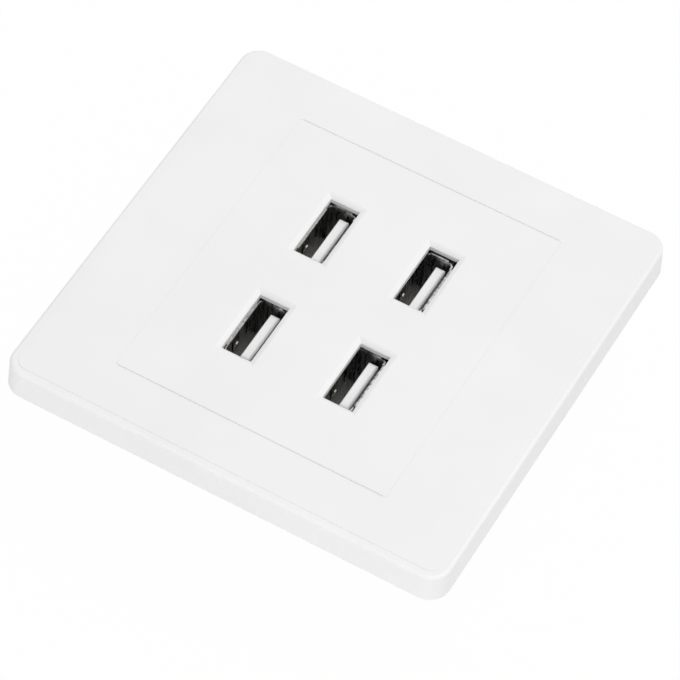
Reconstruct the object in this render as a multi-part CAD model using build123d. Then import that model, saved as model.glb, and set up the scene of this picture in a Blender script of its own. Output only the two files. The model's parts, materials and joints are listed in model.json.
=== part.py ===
"""A flush wall socket with four USB-A outlets, for a wall box with fixing screws 60.3 mm apart.

The part lies on its back. +Z points out of the wall, X runs across the plate and Y runs up it.
The origin is the middle of the plate, on the surface of the wall. All sizes are in millimetres.
"""
from build123d import *

import os
from math import cos, radians, sin

# Plate and clip-on frame
PLATE = 86.0            # side of the square frame at the wall
PLATE_CORNER = 4.0      # corner radius at the wall
PLATE_DRAFT = 0.25      # how far each side leans in by the front
FACE_Z = 6.15           # height of the flat face above the wall
RIM_DROP = 0.1          # how far the border lies below the face
RIM_WIDTH = 1.77        # width of the border, from the foot of the frame
RIM_EDGE = 0.6          # rounding of the border's outer edge
RIM_STEPS = 3           # flat strips that make up the rounding
FRAME_T = 1.8           # thickness behind the flat face
SKIRT_T = 1.6           # thickness of the sides
WINDOW_LIP_T = 1.2      # thickness of the lip round the panel
SEAT_GAP = 0.05         # room left where the frame meets the flange
RIB_T = 1.0             # stiffening ribs under the frame
RIB_X = 14.0            # ribs above and below the panel, from the middle
RIB_Y = 17.0            # ribs beside the panel, from the middle
RIB_GAP = 0.3           # between the ribs and the flange

# Clip hooks
HOOK_X = 22.0           # from the middle, across
HOOK_W = 5.0
HOOK_T = 1.3
HOOK_BARB = 0.4         # how far the barb stands out
HOOK_BARB_H = 0.9
HOOK_CATCH = 0.05       # from a barb up to the back of the flange
HOOK_ROOM = 0.15        # room round a hook in its hole

# Centre panel and mounting flange, one moulding
PANEL_W = 52.9
PANEL_L = 64.1
PANEL_CORNER = 0.6
PANEL_T = 1.5           # thickness behind the face
PANEL_EDGE = 0.15       # bevels where the panel and the frame meet, at the top and bottom
PANEL_GAP_X = 0.01      # gap to the frame at the sides
PANEL_GAP_Y = 0.03      # gap to the frame at the top and bottom
PANEL_WALL = 1.5
FLANGE_GAP = 1.4        # from the frame's sides to the flange
FLANGE_CORNER = 2.5
FLANGE_TOP = 3.0        # front of the flange above the wall
FLANGE_T = 1.8
FLANGE_RIM = 1.5        # width of the rim that stands on the wall
FIXING_PITCH = 60.3     # between the two fixing slots
FIXING_SLOT = 7.0       # end to end
FIXING_R = 2.25
FIXING_PAD_X = 13.0
FIXING_PAD_Y = 9.0

# Ports: windows in the panel
PORT_PITCH_X = 20.0
PORT_PITCH_Y = 25.0
PORT_W = 5.85
PORT_L = 13.45
# Rounded lead-ins of a window: width on the face, depth at the wall and depth halfway
LEAD_ENDS = (1.0, 0.6, 0.2)
LEAD_SIDES = (0.9, 0.45, 0.19)
# How each outlet sits in its window, across and up, in the order left to right, top row first
PORT_SHIFTS = [(-0.27, 0.10), (-0.60, -0.25), (-0.10, 0.30), (-0.55, 0.30)]

# Outlets: shell, insulator and contacts
SHELL_IN_W = 5.12
SHELL_IN_L = 12.5
SHELL_T = 0.3
SHELL_CORNER = 0.4      # bevel of the inside corners
LIP_GAP = 0.1           # between the lips and the back of the panel
LIP_H = 0.3             # height of the lips
LIP_FLARE_L = 0.3       # how far the lips of the long sides lean out
LIP_FLARE_W = 0.1       # how far the lips of the short sides lean out
LIP_SETBACK_L = 1.05    # from the ends of a long side to its lip
LIP_SETBACK_W = 0.76    # from the ends of a short side to its lip
LEG_W = 1.2
LEG_X = 1.5             # board legs, from the middle of the short side
FINGER_W = 1.9
FINGER_SLIT = 0.3       # slit at each side of a spring finger and at its end
FINGER_Y = 2.5          # from the middle of the long side
FINGER_TOP = 0.7        # root, below the lips' bend
FINGER_BEND = 1.5       # root to the bend
FINGER_END = 1.7        # bend to free end
FINGER_BULGE = 0.2
NIB_W = 0.6             # contact nib on the bend of one finger of each long side
NIB_H = 0.25            # half the nib's height
NIB_OUT = 0.22          # how far the nib stands out from the bend
TONGUE_DEPTH = 2.95     # front of the tongue below the face
TONGUE_T = 1.84
TONGUE_SIDE_GAP = 0.6   # from the tongue's ends to the shell
TONGUE_BACK_GAP = 0.7   # from the tongue's back to the shell
TONGUE_ROUND = 0.65     # rounding of the tongue's front along its back
TONGUE_END = 0.9        # rounding of the tongue's front at its ends
TONGUE_EDGE = 0.15      # bevel of the tongue's front on the contacts' side
TONGUE_CORNER = 0.35    # bevel of the upright corners
BASE_T = 1.6            # insulator base that stands on the board
BASE_GAP = 0.08         # between the base and the shell
CONTACT_SPOTS = [-3.5, -1.0, 1.0, 3.5]
CONTACT_W = 1.0
CONTACT_T = 0.35
CONTACT_SUNK = 0.25     # how deep a contact lies in the tongue
CONTACT_SHORT = 0.9     # contact ends this far below the tongue's front
CONTACT_ROOM = 0.03     # round a contact in its groove
TAIL_W = 0.6

# Circuit board
CAVITY_DEPTH = 11.7     # how far a plug goes in from the face
BOARD_T = 1.6
BOARD_GAP = 0.3         # between the board and the housing's walls
SOLDER_ROOM = 0.1       # round each leg and tail in its hole

# Rear housing
HOUSING_GAP = 0.45      # between its sides and the panel's walls
HOUSING_WALL = 1.5
HOUSING_CORNER = 2.5
HOUSING_EDGE = 0.8      # bevel round its floor
HOUSING_TOP_GAP = 0.1   # between its front edge and the panel
EAR_GAP = 0.35          # between the fixing ears and the panel's walls
EAR_T = 1.8
EAR_CORNER = 1.2        # bevel of the ears' corners
LEDGE = 3.0             # corner posts that carry the board
VENT_COUNT = 5
VENT_PITCH = 3.2
VENT_W = 1.2
VENT_L = 7.0
VENT_Y = 8.0            # vents, from the middle of the side walls
SCREW_INSET_X = 4.5     # from the sides of the ears
SCREW_INSET_Y = 2.6     # from the ends of the ears
SCREW_R = 1.25
SCREW_HEAD_R = 2.1
SCREW_HEAD_H = 1.6
SCREW_LENGTH = 4.6
SCREW_ROOM = 0.15       # round a screw in the ear's slot
SCREW_FIT = 0.02        # round a screw in its post
POST_W = 5.0            # square screw posts on the back of the panel
POST_GAP = 0.1          # between a post and the housing
DRIVE_R = 1.2           # recess for the screwdriver
DRIVE_W = 0.5
DRIVE_D = 0.8

# Supply terminals
POLE_PITCH = 10.4
TERMINAL_SIDE = 2.15    # walls beside the chambers
TERMINAL_SKIN = 1.05    # wall behind the bars
TERMINAL_LIP = 0.5      # lip that holds a screw head in
CLAMP_R = 1.45          # clamp screw
CLAMP_HEAD_R = 2.0
CLAMP_HEAD_H = 1.8
CLAMP_RUN = 0.05        # running clearance of the clamp screw
ACCESS_R = 1.6          # driver hole over a clamp screw
HEAD_ROOM = 0.2         # round a screw head
CAGE_W = 6.0
CAGE_D = 5.6
CAGE_WALL = 0.8
CAGE_TOP = 1.6          # threaded wall
CAGE_TRAVEL = 3.0
CAGE_ROOM = 0.25        # round a cage in its chamber
WIRE_H = 4.4            # room for a wire in an open cage
WIRE_ENTRY = 4.6        # side of the square wire entry
ENTRY_FLARE = 0.4       # the housing's entry is this much wider all round
BAR_T = 0.8
BAR_ROOM = 0.1
BAR_PIN_W = 1.2

# Power parts on the back of the board
CORE_W = 16.0
CORE_D = 4.8
CORE_H = 11.6
CORE_LEG = 4.0
CORE_YOKE = 1.9
CORE_LIFT = 0.6         # core above the board
BOBBIN_WALL = 0.6
BOBBIN_FLANGE = 0.8
BOBBIN_D = 14.0
WINDING_INSET = 0.7     # from the bobbin's edge to the winding
WINDING_CORNER = 2.0
CORE_ROOM = 0.15
CAN_R = 4.0
CAN_H = 11.2
CHOKE_R = 3.5
CHOKE_H = 8.0
DISC_R = 3.4
DISC_T = 3.0
DISC_PITCH = 3.4        # between its leads
LEAD_W = 0.6            # square leads
RESISTOR_R = 1.5
RESISTOR_L = 6.0
RESISTOR_LEAD = 1.0
BRIDGE = {"w": 5.0, "l": 6.4, "h": 1.6, "pins": 2, "lead_w": 1.0, "reach": 1.2}
CONTROLLER = {"w": 3.9, "l": 4.9, "h": 1.5, "pins": 4, "lead_w": 0.4, "reach": 1.0}
DIODE = {"w": 6.8, "l": 5.8, "h": 2.4, "pins": 1, "lead_w": 3.0, "reach": 0.9}
CHIP_LEAD_T = 0.25
COLUMN_GAP = 2.1        # from the side columns of parts to the housing's walls
CAN_PITCH = 9.4
INPUT_CANS = 2
OUTPUT_CANS = 3
PART_ROOM = 0.8         # between neighbouring power parts

# Heights that follow from the sizes above
RIM_Z = FACE_Z - RIM_DROP
FRAME_UNDER = FACE_Z - FRAME_T
PANEL_UNDER = FACE_Z - PANEL_T
FLANGE_UNDER = FLANGE_TOP - FLANGE_T
LIP_Z = PANEL_UNDER - LIP_GAP
BEND_Z = LIP_Z - LIP_H
TONGUE_Z = FACE_Z - TONGUE_DEPTH
FLOOR_Z = FACE_Z - CAVITY_DEPTH
BOARD_Z = FLOOR_Z - BASE_T
BOARD_BACK = BOARD_Z - BOARD_T
CAGE_FOOT = BOARD_BACK - CAGE_ROOM
WIRE_TOP = CAGE_FOOT - CAGE_WALL
BAR_FRONT = WIRE_TOP - WIRE_H
BAR_BACK = BAR_FRONT - BAR_T
CAGE_END = BAR_BACK - BAR_ROOM - CAGE_TOP
HEAD_Z = CAGE_END - CAGE_TRAVEL - BAR_ROOM
HEAD_END = HEAD_Z - CLAMP_HEAD_H
TERMINAL_END = HEAD_END - BAR_ROOM - TERMINAL_LIP
HOUSING_IN_Z = TERMINAL_END - HEAD_ROOM
HOUSING_Z = HOUSING_IN_Z - HOUSING_WALL
EAR_Z = FLANGE_UNDER

# Widths and places that follow from the sizes above
FRAME_IN = PLATE - 2 * SKIRT_T
FLANGE = FRAME_IN - 2 * FLANGE_GAP
FLANGE_IN = FLANGE - 2 * FLANGE_RIM
WINDOW_W = PANEL_W + 2 * PANEL_GAP_X
WINDOW_L = PANEL_L + 2 * PANEL_GAP_Y
LIP_FRAME_W = WINDOW_W + 2 * WINDOW_LIP_T
LIP_FRAME_L = WINDOW_L + 2 * WINDOW_LIP_T
HOOK_Y = (LIP_FRAME_L + FLANGE_IN) / 4
PANEL_IN_W = PANEL_W - 2 * PANEL_WALL
PANEL_IN_L = PANEL_L - 2 * PANEL_WALL
HOUSING_W = PANEL_IN_W - 2 * HOUSING_GAP
EAR_L = PANEL_IN_L - 2 * EAR_GAP
SCREW_X = HOUSING_W / 2 - SCREW_INSET_X
SCREW_Y = EAR_L / 2 - SCREW_INSET_Y
HOUSING_L = 2 * (SCREW_Y - POST_W / 2 - POST_GAP)
HOUSING_IN_W = HOUSING_W - 2 * HOUSING_WALL
HOUSING_IN_L = HOUSING_L - 2 * HOUSING_WALL
CHAMBER_W = CAGE_W + 2 * CAGE_ROOM
CHAMBER_D = CAGE_D + 2 * CAGE_ROOM
TERMINAL_W = POLE_PITCH + CHAMBER_W + 2 * TERMINAL_SIDE
TERMINAL_D = CHAMBER_D + 2 * (BAR_T + TERMINAL_SKIN)
COLUMN_X = HOUSING_IN_W / 2 - COLUMN_GAP - CAN_R
TERMINAL_Y = -HOUSING_IN_L / 2 + TERMINAL_D / 2
POLES = {"live": -POLE_PITCH / 2, "neutral": POLE_PITCH / 2}
SHELL_W = SHELL_IN_W + 2 * SHELL_T
SHELL_L = SHELL_IN_L + 2 * SHELL_T
TONGUE_L = SHELL_IN_L - 2 * TONGUE_SIDE_GAP
TONGUE_BACK_X = SHELL_IN_W / 2 - TONGUE_BACK_GAP
TONGUE_FRONT_X = TONGUE_BACK_X - TONGUE_T
CONTACT_X = TONGUE_FRONT_X + CONTACT_SUNK - CONTACT_T / 2

SIGNS = (-1, 1)
CORNERS = [(sx, sy) for sx in SIGNS for sy in SIGNS]
WINDOWS = [(sx * PORT_PITCH_X / 2, sy * PORT_PITCH_Y / 2) for sy in (1, -1) for sx in SIGNS]
OUTLETS = [(x + dx, y + dy) for (x, y), (dx, dy) in zip(WINDOWS, PORT_SHIFTS)]


def block(w, l, z0, z1, x=0.0, y=0.0):
    """A plain block, w across and l long, between two heights."""
    return Pos(x, y, (z0 + z1) / 2) * Box(w, l, z1 - z0)


def slab(w, l, r, z0, z1, x=0.0, y=0.0):
    """A block with rounded upright corners."""
    return Pos(x, y, z0) * extrude(RectangleRounded(w, l, r), z1 - z0)


def bevelled(w, l, bevel, z0, z1, x=0.0):
    """A block with bevelled upright corners."""
    return chamfer(block(w, l, z0, z1, x).edges().filter_by(Axis.Z), bevel)


def rod(r, z0, z1, x=0.0, y=0.0):
    """An upright round bar between two heights."""
    return Pos(x, y, (z0 + z1) / 2) * Cylinder(r, z1 - z0)


def drawn_out(plane, outline, width):
    """An outline on a plane, drawn out both ways to a width."""
    return extrude(plane * make_face(outline), width / 2, both=True)


def prism_x(points, width, x=0.0):
    """A profile of (y, z) points drawn out along X, centred on x."""
    return Pos(x, 0, 0) * drawn_out(Plane.YZ, Polyline(*points, close=True), width)


def prism_y(points, width, y=0.0):
    """A profile of (x, z) points drawn out along Y, centred on y."""
    return Pos(0, y, 0) * drawn_out(Plane.XZ, Polyline(*points, close=True), width)


def hook(sx, sy):
    """One clip hook: a leg that hangs from the frame, with a barb that faces outwards."""
    y0 = HOOK_Y - HOOK_T / 2
    y1 = HOOK_Y + HOOK_T / 2
    catch = FLANGE_UNDER - HOOK_CATCH
    end = catch - HOOK_BARB_H
    profile = [(y0, FRAME_UNDER), (y0, end), (y1, end), (y1 + HOOK_BARB, end + HOOK_BARB)]
    profile += [(y1 + HOOK_BARB, catch), (y1, catch), (y1, FRAME_UNDER)]
    return prism_x([(sy * y, z) for y, z in profile], HOOK_W, sx * HOOK_X)


def face_bevel(edge, run):
    """What a bevel cuts from an edge of the face at y = edge, where it runs that far along Y."""
    profile = [(edge, FACE_Z - PANEL_EDGE), (edge + run, FACE_Z), (edge, FACE_Z)]
    return prism_x(profile, PANEL_W - 2 * PANEL_CORNER)


def front_frame():
    """The clip-on frame: a drafted square tray with a low border, open over the centre panel."""
    sections = [RectangleRounded(PLATE, PLATE, PLATE_CORNER)]
    for step in range(RIM_STEPS + 1):
        turn = radians(90 * step / RIM_STEPS)
        inset = PLATE_DRAFT + RIM_EDGE * (1 - cos(turn))
        side = PLATE - 2 * inset
        height = RIM_Z - RIM_EDGE * (1 - sin(turn))
        sections.append(Pos(0, 0, height) * RectangleRounded(side, side, PLATE_CORNER - inset))
    body = loft(sections, ruled=True)
    face_side = PLATE - 2 * RIM_WIDTH
    body += slab(face_side, face_side, PLATE_CORNER - RIM_WIDTH, FRAME_UNDER, FACE_Z)
    hollow = slab(FRAME_IN, FRAME_IN, PLATE_CORNER - SKIRT_T, 0, FRAME_UNDER)
    window = slab(WINDOW_W, WINDOW_L, PANEL_CORNER, 0, FACE_Z)
    for sy in SIGNS:
        window += face_bevel(sy * WINDOW_L / 2, sy * PANEL_EDGE)
    lip_foot = FLANGE_TOP + SEAT_GAP
    lip = block(LIP_FRAME_W, LIP_FRAME_L, lip_foot, FRAME_UNDER)
    rib_foot = FLANGE_TOP + RIB_GAP
    beside = (FRAME_IN - LIP_FRAME_W) / 2
    above = (FRAME_IN - LIP_FRAME_L) / 2
    for sx, sy in CORNERS:
        rib_x = sx * (LIP_FRAME_W + beside) / 2
        rib_y = sy * (LIP_FRAME_L + above) / 2
        lip += block(beside, RIB_T, rib_foot, FRAME_UNDER, rib_x, sy * RIB_Y)
        lip += block(RIB_T, above, rib_foot, FRAME_UNDER, sx * RIB_X, rib_y)
        lip += hook(sx, sy)
    return body - hollow + lip - window


def window_outline(width, lead):
    """Section through a window of that width, with a curved lead-in at each side."""
    lead_w, lead_d, lead_half = lead
    half = width / 2
    foot = (half, PANEL_UNDER)
    turn = (half, FACE_Z - lead_d)
    middle = (half + lead_w / 2, FACE_Z - lead_half)
    top = (half + lead_w, FACE_Z)
    right = [Line(foot, turn), ThreePointArc(turn, middle, top)]
    left = [mirror(edge, about=Plane.YZ) for edge in right]
    base = Line((-half, PANEL_UNDER), foot)
    cover = Line((-half - lead_w, FACE_Z), top)
    return [base, cover, *right, *left]


def port_window():
    """A window through the panel's face, with its lead-ins mitred at the corners."""
    across = drawn_out(Plane.XZ, window_outline(PORT_W, LEAD_SIDES), 2 * PORT_L)
    along = drawn_out(Plane.YZ, window_outline(PORT_L, LEAD_ENDS), 2 * PORT_W)
    return across & along


def socket_panel():
    """The centre panel with its port windows, moulded in one with the flange that is screwed down."""
    body = slab(FLANGE, FLANGE, FLANGE_CORNER, 0, FLANGE_TOP)
    body -= block(FLANGE_IN, FLANGE_IN, 0, FLANGE_UNDER)
    body += slab(PANEL_W, PANEL_L, PANEL_CORNER, FLANGE_UNDER, FACE_Z)
    for sy in SIGNS:
        body -= face_bevel(sy * PANEL_L / 2, -sy * PANEL_EDGE)
    body -= block(PANEL_IN_W, PANEL_IN_L, FLANGE_UNDER, PANEL_UNDER)
    hook_room_l = HOOK_T + HOOK_BARB + 2 * HOOK_ROOM
    for sx in SIGNS:
        x = sx * FIXING_PITCH / 2
        body += block(FIXING_PAD_X, FIXING_PAD_Y, 0, FLANGE_UNDER, sx * pad_centre())
        body -= Pos(x, 0, 0) * extrude(SlotOverall(FIXING_SLOT, 2 * FIXING_R), FLANGE_TOP)
    for sx, sy in CORNERS:
        hook_y = sy * (HOOK_Y + HOOK_BARB / 2)
        body -= block(HOOK_W + 2 * HOOK_ROOM, hook_room_l, 0, FLANGE_TOP, sx * HOOK_X, hook_y)
        body += block(POST_W, POST_W, EAR_Z, PANEL_UNDER, sx * SCREW_X, sy * SCREW_Y)
        body -= rod(SCREW_R + SCREW_FIT, EAR_Z, screw_tip(), sx * SCREW_X, sy * SCREW_Y)
    window = port_window()
    for x, y in WINDOWS:
        body -= Pos(x, y, 0) * window
    return body


def pad_centre():
    """Middle of a fixing pad, which runs from the panel's wall outwards."""
    return PANEL_W / 2 + FIXING_PAD_X / 2 - PANEL_WALL / 2


def screw_tip():
    """How far forward a housing screw reaches."""
    return EAR_Z - EAR_T + SCREW_LENGTH


def mouth_lip(inside, flare):
    """The (offset, z) profile of a lip at a shell's mouth, leaning outwards, on the positive side."""
    profile = [(inside, BEND_Z), (inside + SHELL_T, BEND_Z)]
    return profile + [(inside + SHELL_T + flare, LIP_Z), (inside + flare, LIP_Z)]


def spring_finger(inside):
    """The (offset, z) profile of a spring finger, bent inwards from the wall on the positive side."""
    top = BEND_Z - FINGER_TOP
    bump = top - FINGER_BEND
    end = bump - FINGER_END
    inner = [(inside, top), (inside - FINGER_BULGE, bump), (inside, end)]
    return inner + [(offset + SHELL_T, z) for offset, z in reversed(inner)]


def contact_nib(inside):
    """The (offset, z) profile of the nib on a finger's bend, which bears on a plug."""
    bend = inside - FINGER_BULGE
    z = BEND_Z - FINGER_TOP - FINGER_BEND
    root = bend + SHELL_T / 2
    return [(root, z - NIB_H), (bend - NIB_OUT, z), (root, z + NIB_H)]


def usb_shell():
    """The folded steel shell of an outlet: a rectangular tube with lips, spring fingers and legs."""
    tube = bevelled(SHELL_W, SHELL_L, SHELL_CORNER + SHELL_T / 2, BOARD_Z, BEND_Z)
    tube -= bevelled(SHELL_IN_W, SHELL_IN_L, SHELL_CORNER, BOARD_Z, BEND_Z)
    half_w = SHELL_IN_W / 2
    half_l = SHELL_IN_L / 2
    top = BEND_Z - FINGER_TOP
    slot_foot = top - FINGER_BEND - FINGER_END - FINGER_SLIT
    slot_w = FINGER_W + 2 * FINGER_SLIT
    long_spots = (-FINGER_Y, FINGER_Y)
    for y in long_spots:
        tube -= block(SHELL_W, slot_w, slot_foot, top, 0, y)
    tube -= block(slot_w, SHELL_L, slot_foot, top)
    long_side = prism_y(mouth_lip(half_w, LIP_FLARE_L), SHELL_IN_L - 2 * LIP_SETBACK_L)
    for y in long_spots:
        long_side += prism_y(spring_finger(half_w), FINGER_W, y)
    long_side += prism_y(contact_nib(half_w), NIB_W, -FINGER_Y)
    short_side = prism_x(mouth_lip(half_l, LIP_FLARE_W), SHELL_IN_W - 2 * LIP_SETBACK_W)
    short_side += prism_x(spring_finger(half_l), FINGER_W)
    for x in (-LEG_X, LEG_X):
        short_side += block(LEG_W, SHELL_T, BOARD_BACK, BOARD_Z, x, half_l + SHELL_T / 2)
    shell = tube + long_side + mirror(long_side, about=Plane.YZ)
    return shell + short_side + mirror(short_side, about=Plane.XZ)


def front_rounding(side, radius):
    """Outline of what is cut away to round the tongue's front where it meets a side."""
    start = (side, TONGUE_Z - radius)
    corner = (side, TONGUE_Z)
    end = (side - radius, TONGUE_Z)
    arc = CenterArc((end[0], start[1]), radius, 0, 90)
    return [Line(start, corner), Line(corner, end), arc]


def usb_tongue():
    """The white insulator of an outlet: a base on the board and the tongue that a plug slides over."""
    base_w = SHELL_IN_W - 2 * BASE_GAP
    base_l = SHELL_IN_L - 2 * BASE_GAP
    base = bevelled(base_w, base_l, SHELL_CORNER, BOARD_Z, FLOOR_Z)
    middle = (TONGUE_FRONT_X + TONGUE_BACK_X) / 2
    tongue = bevelled(TONGUE_T, TONGUE_L, TONGUE_CORNER, FLOOR_Z, TONGUE_Z, middle)
    front = tongue.faces().sort_by(Axis.Z)[-1]
    tongue = chamfer(front.edges().filter_by(Axis.Y).sort_by(Axis.X)[0], TONGUE_EDGE)
    tongue -= drawn_out(Plane.XZ, front_rounding(TONGUE_BACK_X, TONGUE_ROUND), TONGUE_L)
    end_cut = drawn_out(Plane.YZ, front_rounding(TONGUE_L / 2, TONGUE_END), SHELL_IN_W)
    body = base + tongue - end_cut - mirror(end_cut, about=Plane.XZ)
    groove_w = CONTACT_W + 2 * CONTACT_ROOM
    groove_t = CONTACT_T + 2 * CONTACT_ROOM
    groove_top = TONGUE_Z - CONTACT_SHORT + CONTACT_ROOM
    for y in CONTACT_SPOTS:
        body -= block(groove_t, groove_w, BOARD_Z, groove_top, CONTACT_X, y)
    return body


def usb_contacts():
    """The four contact strips of an outlet, each with a tail through the board."""
    strips = []
    for y in CONTACT_SPOTS:
        strip = block(CONTACT_T, CONTACT_W, BOARD_Z, TONGUE_Z - CONTACT_SHORT, CONTACT_X, y)
        strip += block(CONTACT_T, TAIL_W, BOARD_BACK, BOARD_Z, CONTACT_X, y)
        strips.append(strip)
    return Compound(strips)


def circuit_board():
    """The board, with a hole for each leg, tail and terminal pin."""
    board = block(HOUSING_IN_W - 2 * BOARD_GAP, HOUSING_IN_L - 2 * BOARD_GAP, BOARD_BACK, BOARD_Z)
    leg_y = SHELL_IN_L / 2 + SHELL_T / 2
    for x, y in OUTLETS:
        for sx, sy in CORNERS:
            hole = (LEG_W + 2 * SOLDER_ROOM, SHELL_T + 2 * SOLDER_ROOM)
            board -= block(*hole, BOARD_BACK, BOARD_Z, x + sx * LEG_X, y + sy * leg_y)
        for spot in CONTACT_SPOTS:
            hole = (CONTACT_T + 2 * SOLDER_ROOM, TAIL_W + 2 * SOLDER_ROOM)
            board -= block(*hole, BOARD_BACK, BOARD_Z, x + CONTACT_X, y + spot)
    for x in POLES.values():
        hole = (BAR_PIN_W + 2 * SOLDER_ROOM, BAR_T + 2 * SOLDER_ROOM)
        board -= block(*hole, BOARD_BACK, BOARD_Z, x, bar_end())
    return board


def bar_end():
    """Where a terminal bar turns towards the board: the middle of its upright leg."""
    return TERMINAL_Y + CHAMBER_D / 2 + BAR_T / 2


def terminal_body():
    """The terminal block: two chambers for the cages, wire entries in front and driver holes behind."""
    body = block(TERMINAL_W, TERMINAL_D, TERMINAL_END, BOARD_BACK, 0, TERMINAL_Y)
    entry_z = (WIRE_TOP + BAR_FRONT) / 2
    front = TERMINAL_Y - TERMINAL_D / 2
    entry_l = TERMINAL_Y - front
    half = WIRE_ENTRY / 2
    pocket = 2 * (CLAMP_HEAD_R + HEAD_ROOM)
    for x in POLES.values():
        body -= block(CHAMBER_W, CHAMBER_D, HEAD_Z, BOARD_BACK, x, TERMINAL_Y)
        body -= block(pocket, pocket, HEAD_END - BAR_ROOM, HEAD_Z, x, TERMINAL_Y)
        body -= rod(ACCESS_R, TERMINAL_END, HEAD_END, x, TERMINAL_Y)
        body -= block(WIRE_ENTRY, entry_l, entry_z - half, entry_z + half, x, front + entry_l / 2)
        slot_w = bar_width() + 2 * BAR_ROOM
        slot_end = bar_end() + BAR_T / 2
        slot_l = slot_end - TERMINAL_Y
        body -= block(slot_w, slot_l, BAR_BACK, BOARD_BACK, x, TERMINAL_Y + slot_l / 2)
    return body


def bar_width():
    """A bar runs between the side walls of its cage."""
    return CAGE_W - 2 * CAGE_WALL - 2 * BAR_ROOM


def terminal_bar(x):
    """The fixed bar that a wire is pressed on, with its pin through the board."""
    start = TERMINAL_Y - CHAMBER_D / 2
    end = bar_end() + BAR_T / 2
    width = bar_width()
    bar = block(width, end - start, BAR_BACK, BAR_FRONT, x, (start + end) / 2)
    bar += block(width, BAR_T, BAR_FRONT, BOARD_BACK, x, bar_end())
    return bar + block(BAR_PIN_W, BAR_T, BOARD_BACK, BOARD_Z, x, bar_end())


def terminal_cage(x):
    """A rising cage: a square ring that lifts the wire against the bar as its screw turns."""
    cage = block(CAGE_W, CAGE_D, CAGE_END, CAGE_FOOT, x, TERMINAL_Y)
    cage -= block(CAGE_W - 2 * CAGE_WALL, CAGE_D, CAGE_END + CAGE_TOP, WIRE_TOP, x, TERMINAL_Y)
    return cage - rod(CLAMP_R + CLAMP_RUN, CAGE_END, CAGE_END + CAGE_TOP, x, TERMINAL_Y)


def cross_drive(z0, z1):
    """A cross-shaped screwdriver recess between two heights."""
    return block(2 * DRIVE_R, DRIVE_W, z0, z1) + block(DRIVE_W, 2 * DRIVE_R, z0, z1)


def terminal_screw(x):
    """A captive clamp screw: its head faces backwards and its tip bears on the bar."""
    screw = rod(CLAMP_HEAD_R, HEAD_END, HEAD_Z) + rod(CLAMP_R, HEAD_Z, BAR_BACK - BAR_ROOM)
    screw -= cross_drive(HEAD_END, HEAD_END + DRIVE_D)
    return Pos(x, TERMINAL_Y, 0) * screw


def rear_housing():
    """The box behind the plate, with fixing ears, board posts, vents, wire entries and driver holes."""
    top = PANEL_UNDER - HOUSING_TOP_GAP
    box = slab(HOUSING_W, HOUSING_L, HOUSING_CORNER, HOUSING_Z, top)
    box = chamfer(box.faces().sort_by(Axis.Z)[0].edges(), HOUSING_EDGE)
    box += bevelled(HOUSING_W, EAR_L, EAR_CORNER, EAR_Z - EAR_T, EAR_Z)
    box -= block(HOUSING_IN_W, HOUSING_IN_L, HOUSING_IN_Z, top)
    entry = WIRE_ENTRY + 2 * ENTRY_FLARE
    entry_z = (WIRE_TOP + BAR_FRONT) / 2
    wall_y = -(HOUSING_L - HOUSING_WALL) / 2
    for x in POLES.values():
        box -= block(entry, HOUSING_WALL, entry_z - entry / 2, entry_z + entry / 2, x, wall_y)
        box -= rod(ACCESS_R + ENTRY_FLARE, HOUSING_Z, HOUSING_IN_Z, x, TERMINAL_Y)
    vent_z = (HOUSING_IN_Z + BOARD_BACK) / 2
    slot_w = 2 * (SCREW_R + SCREW_ROOM)
    slot_l = SCREW_INSET_Y + slot_w / 2
    for sx, sy in CORNERS:
        post_x = sx * (HOUSING_IN_W - LEDGE) / 2
        post_y = sy * (HOUSING_IN_L - LEDGE) / 2
        box += block(LEDGE, LEDGE, HOUSING_IN_Z, BOARD_BACK, post_x, post_y)
        slot_y = sy * (EAR_L - slot_l) / 2
        box -= block(slot_w, slot_l, EAR_Z - EAR_T, EAR_Z, sx * SCREW_X, slot_y)
        wall_x = sx * (HOUSING_W - HOUSING_WALL) / 2
        for step in range(VENT_COUNT):
            y = sy * VENT_Y + (step - (VENT_COUNT - 1) / 2) * VENT_PITCH
            box -= block(HOUSING_WALL, VENT_W, vent_z - VENT_L / 2, vent_z + VENT_L / 2, wall_x, y)
    return box


def housing_screws():
    """The screws through the housing's ears into the panel's posts."""
    seat = EAR_Z - EAR_T
    screw = rod(SCREW_HEAD_R, seat - SCREW_HEAD_H, seat) + rod(SCREW_R, seat, screw_tip())
    screw -= cross_drive(seat - SCREW_HEAD_H, seat - SCREW_HEAD_H + DRIVE_D)
    return Compound([Pos(sx * SCREW_X, sy * SCREW_Y, 0) * screw for sx, sy in CORNERS])


def core_window():
    """Width of each winding window in the transformer core."""
    return (CORE_W - CORE_LEG) / 2 - CORE_LEG / 2


def transformer_core():
    """A closed double-E core that stands over the board."""
    foot = BOARD_BACK - CORE_LIFT
    core = block(CORE_W, CORE_D, foot - CORE_H, foot)
    spot = CORE_LEG / 2 + core_window() / 2
    for sx in SIGNS:
        core -= block(core_window(), CORE_D, foot - CORE_H + CORE_YOKE, foot - CORE_YOKE, sx * spot)
    return core


def bobbin_span():
    """Front and back heights of the bobbin inside the core."""
    foot = BOARD_BACK - CORE_LIFT
    return foot - CORE_H + CORE_YOKE + CORE_ROOM, foot - CORE_YOKE - CORE_ROOM


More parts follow.
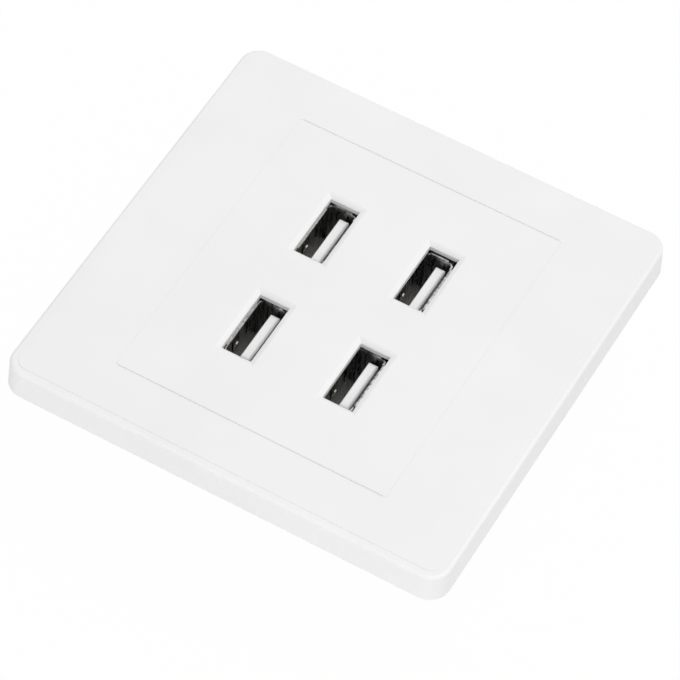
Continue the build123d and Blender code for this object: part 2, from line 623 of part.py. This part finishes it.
def transformer_bobbin():
    """The spool on the core's middle leg, with two pin rails that stand on the board."""
    low, high = bobbin_span()
    tube_w = CORE_LEG + 2 * CORE_ROOM + 2 * BOBBIN_WALL
    tube_d = CORE_D + 2 * CORE_ROOM + 2 * BOBBIN_WALL
    flange_w = CORE_LEG + 2 * core_window() - 2 * CORE_ROOM
    body = block(tube_w, tube_d, low, high)
    for z in (low, high - BOBBIN_FLANGE):
        body += block(flange_w, BOBBIN_D, z, z + BOBBIN_FLANGE)
    rail = (BOBBIN_D - CORE_D) / 2 - CORE_ROOM
    for sy in SIGNS:
        rail_y = sy * (BOBBIN_D - rail) / 2
        body += block(flange_w, rail, high - BOBBIN_FLANGE, BOARD_BACK, 0, rail_y)
    return body - block(CORE_LEG + 2 * CORE_ROOM, CORE_D + 2 * CORE_ROOM, low, high)


def transformer_winding():
    """The taped winding round the bobbin's tube."""
    low, high = bobbin_span()
    low += BOBBIN_FLANGE
    high -= BOBBIN_FLANGE
    hole_w = CORE_LEG + 2 * CORE_ROOM + 2 * BOBBIN_WALL
    hole_d = CORE_D + 2 * CORE_ROOM + 2 * BOBBIN_WALL
    outer_w = CORE_LEG + 2 * core_window() - 4 * CORE_ROOM
    winding = slab(outer_w, BOBBIN_D - 2 * WINDING_INSET, WINDING_CORNER, low, high)
    return winding - block(hole_w, hole_d, low, high)


def capacitors(spots):
    """Upright electrolytic capacitors in their cans."""
    return Compound([rod(CAN_R, BOARD_BACK - CAN_H, BOARD_BACK, x, y) for x, y in spots])


def chip(w, l, h, pins, lead_w, reach):
    """A moulded chip lying on the board, with a row of leads along each side."""
    body = block(w, l, BOARD_BACK - h, BOARD_BACK)
    pitch = l / pins
    for sx in SIGNS:
        for pin in range(pins):
            y = (pin - (pins - 1) / 2) * pitch
            x = sx * (w + reach) / 2
            body += block(reach, lead_w, BOARD_BACK - CHIP_LEAD_T, BOARD_BACK, x, y)
    return body


def safety_capacitor():
    """A disc capacitor that stands on two leads."""
    centre = BOARD_BACK - DISC_R - PART_ROOM
    disc = Pos(0, 0, centre) * Rot(90, 0, 0) * Cylinder(DISC_R, DISC_T)
    for sx in SIGNS:
        disc += block(LEAD_W, LEAD_W, centre, BOARD_BACK, sx * DISC_PITCH / 2)
    return disc


def resistor_reach():
    """Length of the resistor over its bent leads."""
    return RESISTOR_L + 2 * RESISTOR_LEAD


def fuse_resistor():
    """An axial resistor with its leads bent down to the board."""
    axis = BOARD_BACK - RESISTOR_R - PART_ROOM
    body = Pos(0, 0, axis) * Rot(90, 0, 0) * Cylinder(RESISTOR_R, RESISTOR_L)
    body += block(LEAD_W, resistor_reach(), axis - LEAD_W / 2, axis + LEAD_W / 2)
    for sy in SIGNS:
        body += block(LEAD_W, LEAD_W, axis, BOARD_BACK, 0, sy * (resistor_reach() - LEAD_W) / 2)
    return body


def power_parts():
    """Everything on the back of the board, laid out in a middle column and two side columns."""
    terminal_back = TERMINAL_Y + TERMINAL_D / 2
    first_can = terminal_back + PART_ROOM + CAN_R
    left = [(-COLUMN_X, first_can + step * CAN_PITCH) for step in range(OUTPUT_CANS)]
    right = [(COLUMN_X, first_can + step * CAN_PITCH) for step in range(INPUT_CANS)]
    choke_y = first_can + INPUT_CANS * CAN_PITCH
    core_y = terminal_back + PART_ROOM + BOBBIN_D / 2
    disc_y = core_y + BOBBIN_D / 2 + PART_ROOM + DISC_T / 2
    chip_y = disc_y + DISC_T / 2 + PART_ROOM + CONTROLLER["l"] / 2
    diode_y = chip_y + CONTROLLER["l"] / 2 + PART_ROOM + DIODE["l"] / 2
    beside_terminal = TERMINAL_W / 2 + PART_ROOM
    bridge_x = beside_terminal + BRIDGE["w"] / 2 + BRIDGE["reach"]
    bridge_y = terminal_back - BRIDGE["l"] / 2
    resistor_x = -(beside_terminal + RESISTOR_R)
    resistor_y = -HOUSING_IN_L / 2 + PART_ROOM + resistor_reach() / 2
    return {
        "transformer_core": Pos(0, core_y, 0) * transformer_core(),
        "transformer_bobbin": Pos(0, core_y, 0) * transformer_bobbin(),
        "transformer_winding": Pos(0, core_y, 0) * transformer_winding(),
        "input_capacitors": capacitors(right),
        "output_capacitors": capacitors(left),
        "filter_choke": rod(CHOKE_R, BOARD_BACK - CHOKE_H, BOARD_BACK, COLUMN_X, choke_y),
        "safety_capacitor": Pos(0, disc_y, 0) * safety_capacitor(),
        "bridge_rectifier": Pos(bridge_x, bridge_y, 0) * chip(**BRIDGE),
        "controller_chip": Pos(0, chip_y, 0) * chip(**CONTROLLER),
        "output_diode": Pos(0, diode_y, 0) * chip(**DIODE),
        "fuse_resistor": Pos(resistor_x, resistor_y, 0) * fuse_resistor(),
    }


def all_parts():
    """Every piece of the socket, by name."""
    parts = {"front_frame": front_frame(), "socket_panel": socket_panel()}
    makers = {"usb_shell": usb_shell(), "usb_tongue": usb_tongue(), "usb_contacts": usb_contacts()}
    for number, (x, y) in enumerate(OUTLETS, 1):
        for name, piece in makers.items():
            parts[f"{name}_{number}"] = Pos(x, y, 0) * piece
    parts["circuit_board"] = circuit_board()
    parts.update(power_parts())
    parts["terminal_body"] = terminal_body()
    for pole, x in POLES.items():
        parts[f"terminal_screw_{pole}"] = terminal_screw(x)
        parts[f"terminal_cage_{pole}"] = terminal_cage(x)
        parts[f"terminal_bar_{pole}"] = terminal_bar(x)
    parts["rear_housing"] = rear_housing()
    parts["housing_screws"] = housing_screws()
    return parts


os.makedirs("parts", exist_ok=True)
for node, piece in all_parts().items():
    export_step(piece, os.path.join("parts", f"{node}.step"))
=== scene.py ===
import json
import math

import bpy
from mathutils import Matrix, Vector


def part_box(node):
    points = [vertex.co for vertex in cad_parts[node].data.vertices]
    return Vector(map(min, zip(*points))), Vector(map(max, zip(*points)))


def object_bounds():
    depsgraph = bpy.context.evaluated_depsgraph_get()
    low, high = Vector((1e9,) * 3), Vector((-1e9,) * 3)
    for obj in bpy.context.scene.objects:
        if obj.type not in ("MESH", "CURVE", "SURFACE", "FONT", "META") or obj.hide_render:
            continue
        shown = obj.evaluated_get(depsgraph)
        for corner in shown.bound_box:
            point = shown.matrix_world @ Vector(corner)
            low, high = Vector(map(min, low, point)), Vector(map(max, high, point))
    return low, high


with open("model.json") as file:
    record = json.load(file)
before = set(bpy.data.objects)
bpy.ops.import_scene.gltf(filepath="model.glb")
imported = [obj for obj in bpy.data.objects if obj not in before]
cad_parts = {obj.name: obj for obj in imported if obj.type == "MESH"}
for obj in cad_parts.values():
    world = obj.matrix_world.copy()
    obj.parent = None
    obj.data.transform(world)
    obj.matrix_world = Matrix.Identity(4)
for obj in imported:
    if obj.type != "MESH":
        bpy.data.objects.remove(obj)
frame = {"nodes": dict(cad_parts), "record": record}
cad_low, cad_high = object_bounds()

# Camera: the photograph's view, for a square image, in degrees and metres
IMAGE_PX = 680
FOCAL_PX = 4171.5
SENSOR_MM = 36.0
AZIMUTH = 24.69
ELEVATION = 53.22
ROLL = 5.78
DISTANCE = 0.72645
TARGET = Vector((0.00187, -0.00326, 0.0))

# Light: levels of the surroundings, lamps in watts and metres
WHITE = (1, 1, 1, 1)
WORLD_LEVEL = 0.88
WORLD_LEFT = 0.45           # level at the far left
WORLD_FADE = (-1.0, 0.0)    # from the far left to the middle
KEY_ENERGY = 3.4
KEY_SIZE = (0.6, 0.6)
KEY_PLACE = Vector((0.2, 0.3, 1.07))
STRIP_ENERGY = 0.28         # low reflector in front of the near side
STRIP_SIZE = (0.4, 0.024)
STRIP_PLACE = Vector((0.06, -0.35, -0.008))

# Floor, in metres
FLOOR_SIZE = 6.0
FLOOR_GAP = 0.00002         # keeps the floor's plane apart from the part's back
FLOOR_WHITE = 0.74
FLOOR_GLOW = 0.98           # share of plain white where the floor is seen, the rest takes the shadow

# Surfaces: what plastics and metals have in common
GLOSS_SPAN = (0.3, 0.7)     # noise values that stand for the smoothest and the roughest spots
TONE_SPAN = (0.35, 0.65)    # noise values that stand for the first and the second tone
PATCH_SCALE = 60.0          # soft patches of tone in plastic, per metre
PATCH_DETAIL = 2.0
GRAIN_DETAIL = 3.0
PLASTIC_SPREAD = 0.05       # of roughness, up and down
STREAK_DETAIL = 4.0
STREAK_DEPTH = 0.00001
STREAK_STRENGTH = 0.3
METAL_SPREAD = 0.08

# Shells, in metres: painted shade darkens the sheet below the mouth, and a painted highlight lights the
# contact nib
PAINTED_LIGHT_SLOT = "shell_steel"
LIP_H = 0.0003
SHADE_FADE = 0.0004
PAINTED_SHADE_SHARE = 0.42
# The painted highlight on each shell's contact nib: its place and its reach
NIB_PLACE = Vector((-0.00225, -0.0025, -0.0022))    # from the middle of the mouth
NIB_HIGHLIGHT_REACH = (0.03, 0.05)                            # in shares of the shell's box


def grey(level):
    """A neutral tone."""
    return (level, level, level)


# Two tones, roughness, grain per metre, depth of the relief in metres, strength of the relief
PLASTICS = {
    "white_plastic": (grey(0.83), grey(0.85), 0.38, 2500, 0.00002, 0.1),
    "housing_plastic": (grey(0.78), grey(0.81), 0.55, 3000, 0.00004, 0.3),
    "insulator_white": (grey(0.88), grey(0.91), 0.42, 3000, 0.00002, 0.15),
    "board_green": ((0.02, 0.14, 0.06), (0.03, 0.19, 0.08), 0.35, 900, 0.00003, 0.3),
    "ferrite": (grey(0.05), grey(0.08), 0.6, 2500, 0.00004, 0.5),
    "bobbin_black": (grey(0.015), grey(0.025), 0.5, 2500, 0.00003, 0.3),
    "winding_tape": ((0.72, 0.48, 0.04), (0.8, 0.56, 0.07), 0.3, 900, 0.00003, 0.3),
    "can_sleeve": ((0.01, 0.015, 0.05), (0.015, 0.02, 0.07), 0.25, 900, 0.00002, 0.2),
    "choke_sleeve": (grey(0.015), grey(0.03), 0.45, 900, 0.00004, 0.4),
    "disc_blue": ((0.02, 0.1, 0.34), (0.03, 0.13, 0.4), 0.3, 900, 0.00004, 0.4),
    "chip_black": (grey(0.012), grey(0.02), 0.5, 3000, 0.00003, 0.4),
    "resistor_body": ((0.2, 0.36, 0.32), (0.25, 0.42, 0.37), 0.35, 900, 0.00003, 0.3),
    "terminal_plastic": (grey(0.66), grey(0.7), 0.5, 3000, 0.00003, 0.3),
}

# Two tones, roughness, grain per metre, scale of the grain along X, Y and Z: under 1 it is drawn out
METALS = {
    "shell_steel": (grey(0.27), grey(0.64), 0.3, 1300, (1, 1, 0.15)),
    "contact_gold": ((0.75, 0.55, 0.22), (0.86, 0.68, 0.34), 0.25, 900, (1, 1, 0.2)),
    "clamp_steel": (grey(0.55), grey(0.68), 0.35, 900, (1, 1, 0.3)),
    "bar_brass": ((0.7, 0.5, 0.2), (0.8, 0.6, 0.28), 0.32, 900, (1, 0.3, 1)),
}


def new_material(name):
    """A material, with its node tree and its Principled shader."""
    material = bpy.data.materials.new(name)
    material.use_nodes = True
    return material, material.node_tree, material.node_tree.nodes["Principled BSDF"]


def coordinates(tree, kind):
    """Object: metres in the part's frame. Generated: shares of a node's box, or the world's directions."""
    return tree.nodes.new("ShaderNodeTexCoord").outputs[kind]


def component(tree, vector, axis):
    """One component of a vector."""
    node = tree.nodes.new("ShaderNodeSeparateXYZ")
    tree.links.new(vector, node.inputs["Vector"])
    return node.outputs[axis]


def map_range(tree, value, source, target):
    """A value mapped from one range to another, held at its ends."""
    node = tree.nodes.new("ShaderNodeMapRange")
    node.inputs["From Min"].default_value, node.inputs["From Max"].default_value = source
    node.inputs["To Min"].default_value, node.inputs["To Max"].default_value = target
    tree.links.new(value, node.inputs["Value"])
    return node.outputs["Result"]


def larger(tree, first, second):
    """The larger of two values."""
    node = tree.nodes.new("ShaderNodeMath")
    node.operation = "MAXIMUM"
    tree.links.new(first, node.inputs[0])
    tree.links.new(second, node.inputs[1])
    return node.outputs[0]


def noise(tree, scale, detail, stretch=(1, 1, 1)):
    """A noise value over the surface, scaled per metre and drawn out along an axis if asked."""
    mapping = tree.nodes.new("ShaderNodeMapping")
    mapping.inputs["Scale"].default_value = stretch
    tree.links.new(coordinates(tree, "Object"), mapping.inputs["Vector"])
    node = tree.nodes.new("ShaderNodeTexNoise")
    node.inputs["Scale"].default_value = scale
    node.inputs["Detail"].default_value = detail
    tree.links.new(mapping.outputs["Vector"], node.inputs["Vector"])
    return node.outputs["Fac"]


def two_tone(tree, value, *tones):
    """A colour that runs from one tone to another with a noise value."""
    ramp = tree.nodes.new("ShaderNodeValToRGB")
    for element, position, tone in zip(ramp.color_ramp.elements, TONE_SPAN, tones):
        element.position = position
        element.color = (*tone, 1)
    tree.links.new(value, ramp.inputs["Fac"])
    return ramp.outputs["Color"]


def uneven_gloss(tree, value, roughness, spread, shader):
    """Roughness that varies with a noise value."""
    rough = map_range(tree, value, GLOSS_SPAN, (roughness - spread, roughness + spread))
    tree.links.new(rough, shader.inputs["Roughness"])


def bump(tree, value, depth, strength, shader):
    """Fine relief, depth in metres."""
    node = tree.nodes.new("ShaderNodeBump")
    node.inputs["Strength"].default_value = strength
    node.inputs["Distance"].default_value = depth
    tree.links.new(value, node.inputs["Height"])
    tree.links.new(node.outputs["Normal"], shader.inputs["Normal"])


def plastic(name, first, second, roughness, grain, depth, strength):
    """Moulded plastic: two close tones in soft patches, uneven gloss and a fine grain."""
    material, tree, shader = new_material(name)
    cloud = noise(tree, PATCH_SCALE, PATCH_DETAIL)
    tree.links.new(two_tone(tree, cloud, first, second), shader.inputs["Base Color"])
    fine = noise(tree, grain, GRAIN_DETAIL)
    uneven_gloss(tree, fine, roughness, PLASTIC_SPREAD, shader)
    bump(tree, fine, depth, strength, shader)
    return material


def painted_light_level(tree):
    """Painted light on a shell: full colour at its mouth and a painted highlight on its contact nib,
    painted shade deeper in.
    """
    low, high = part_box("usb_shell_1")
    mouth_z = high.z - LIP_H
    height = component(tree, coordinates(tree, "Object"), "Z")
    # Painted shade: the shell's colour darkens from the mouth downwards into the socket
    below_mouth_shade = map_range(tree, height, (mouth_z - SHADE_FADE, mouth_z), (PAINTED_SHADE_SHARE, 1))
    # The four shells are alike, so the nib lies at the same shares of each shell's box
    nib = Vector(((low.x + high.x) / 2, (low.y + high.y) / 2, mouth_z)) + NIB_PLACE
    away = tree.nodes.new("ShaderNodeVectorMath")
    away.operation = "DISTANCE"
    tree.links.new(coordinates(tree, "Generated"), away.inputs[0])
    away.inputs[1].default_value = [(n - a) / (b - a) for n, a, b in zip(nib, low, high)]
    # Painted highlight: the colour is brightened near the contact nib
    nib_highlight = map_range(tree, away.outputs["Value"], NIB_HIGHLIGHT_REACH, (1, PAINTED_SHADE_SHARE))
    return larger(tree, below_mouth_shade, nib_highlight)


def scaled(tree, colour, share):
    """A colour times a share."""
    node = tree.nodes.new("ShaderNodeVectorMath")
    node.operation = "SCALE"
    tree.links.new(colour, node.inputs["Vector"])
    tree.links.new(share, node.inputs["Scale"])
    return node.outputs["Vector"]


def metal(name, first, second, roughness, grain, stretch):
    """Plated sheet metal with a drawn grain; the shells get painted shade deeper in and a painted
    highlight on the contact nib.
    """
    material, tree, shader = new_material(name)
    shader.inputs["Metallic"].default_value = 1.0
    streak = noise(tree, grain, STREAK_DETAIL, stretch)
    colour = two_tone(tree, streak, first, second)
    if name == PAINTED_LIGHT_SLOT:
        # Painted shade deeper in the shells and a painted highlight on their contact nibs
        colour = scaled(tree, colour, painted_light_level(tree))
    tree.links.new(colour, shader.inputs["Base Color"])
    uneven_gloss(tree, streak, roughness, METAL_SPREAD, shader)
    bump(tree, streak, STREAK_DEPTH, STREAK_STRENGTH, shader)
    return material


def dress_nodes():
    """Gives each CAD node the material of its slot."""
    made = {slot: plastic(slot, *values) for slot, values in PLASTICS.items()}
    made.update({slot: metal(slot, *values) for slot, values in METALS.items()})
    for row in frame["record"]["subparts"]:
        data = frame["nodes"][row["node"]].data
        data.materials.clear()
        data.materials.append(made[row["material_slot"]])


def background_share(tree):
    """1 for rays that look at the background: from the camera, a reflection or through glass."""
    path = tree.nodes.new("ShaderNodeLightPath")
    share = path.outputs["Is Camera Ray"]
    for name in ("Is Glossy Ray", "Is Transmission Ray"):
        share = larger(tree, share, path.outputs[name])
    return share


def add_floor():
    """A pale floor under the part that keeps a faint shadow and reads as white."""
    bpy.ops.mesh.primitive_plane_add(size=FLOOR_SIZE, location=(0, 0, cad_low.z - FLOOR_GAP))
    floor = bpy.context.object
    floor.name = "floor"
    material, tree, shader = new_material("floor_white")
    shader.inputs["Base Color"].default_value = (*grey(FLOOR_WHITE), 1)
    shader.inputs["Roughness"].default_value = 1.0
    shader.inputs["Specular IOR Level"].default_value = 0.0
    glow = tree.nodes.new("ShaderNodeEmission")
    glow.inputs["Strength"].default_value = 1.0
    scale = tree.nodes.new("ShaderNodeMath")
    scale.operation = "MULTIPLY"
    scale.inputs[1].default_value = FLOOR_GLOW
    tree.links.new(background_share(tree), scale.inputs[0])
    mix = tree.nodes.new("ShaderNodeMixShader")
    tree.links.new(scale.outputs[0], mix.inputs["Fac"])
    tree.links.new(shader.outputs["BSDF"], mix.inputs[1])
    tree.links.new(glow.outputs["Emission"], mix.inputs[2])
    tree.links.new(mix.outputs["Shader"], tree.nodes["Material Output"].inputs["Surface"])
    floor.data.materials.append(material)


def add_world():
    """White surroundings: plain white where they are seen, a soft light that dims towards the left."""
    world = bpy.data.worlds.new("studio")
    bpy.context.scene.world = world
    world.use_nodes = True
    tree = world.node_tree
    light = tree.nodes["Background"]
    light.inputs["Color"].default_value = WHITE
    sideways = component(tree, coordinates(tree, "Generated"), "X")
    level = map_range(tree, sideways, WORLD_FADE, (WORLD_LEFT, WORLD_LEVEL))
    tree.links.new(level, light.inputs["Strength"])
    seen = tree.nodes.new("ShaderNodeBackground")
    seen.inputs["Color"].default_value = WHITE
    seen.inputs["Strength"].default_value = 1.0
    mix = tree.nodes.new("ShaderNodeMixShader")
    tree.links.new(background_share(tree), mix.inputs["Fac"])
    tree.links.new(light.outputs["Background"], mix.inputs[1])
    tree.links.new(seen.outputs["Background"], mix.inputs[2])
    tree.links.new(mix.outputs["Shader"], tree.nodes["World Output"].inputs["Surface"])


def add_softbox(name, place, size, energy):
    """A rectangular area lamp that faces the part."""
    data = bpy.data.lights.new(name, "AREA")
    data.shape = "RECTANGLE"
    data.size, data.size_y = size
    data.energy = energy
    lamp = bpy.data.objects.new(name, data)
    bpy.context.scene.collection.objects.link(lamp)
    lamp.location = place
    lamp.rotation_mode = "QUATERNION"
    lamp.rotation_quaternion = (-place).to_track_quat("-Z", "Y")


def add_camera():
    """The photograph's camera."""
    azimuth, elevation, roll = (math.radians(angle) for angle in (AZIMUTH, ELEVATION, ROLL))
    flat = math.cos(elevation)
    back = Vector((flat * math.sin(azimuth), -flat * math.cos(azimuth), math.sin(elevation)))
    level = Vector((math.cos(azimuth), math.sin(azimuth), 0))
    rise = back.cross(level)
    right = math.cos(roll) * level + math.sin(roll) * rise
    up = math.cos(roll) * rise - math.sin(roll) * level
    data = bpy.data.cameras.new("camera")
    data.sensor_width = SENSOR_MM
    data.lens = SENSOR_MM * FOCAL_PX / IMAGE_PX
    camera = bpy.data.objects.new("camera", data)
    bpy.context.scene.collection.objects.link(camera)
    turn = Matrix((right, up, back)).transposed().to_4x4()
    camera.matrix_world = Matrix.Translation(TARGET + DISTANCE * back) @ turn
    bpy.context.scene.camera = camera


dress_nodes()
add_floor()
add_world()
add_softbox("key", KEY_PLACE, KEY_SIZE, KEY_ENERGY)
add_softbox("strip", STRIP_PLACE, STRIP_SIZE, STRIP_ENERGY)
add_camera()
bpy.context.scene.view_settings.view_transform = "Standard"
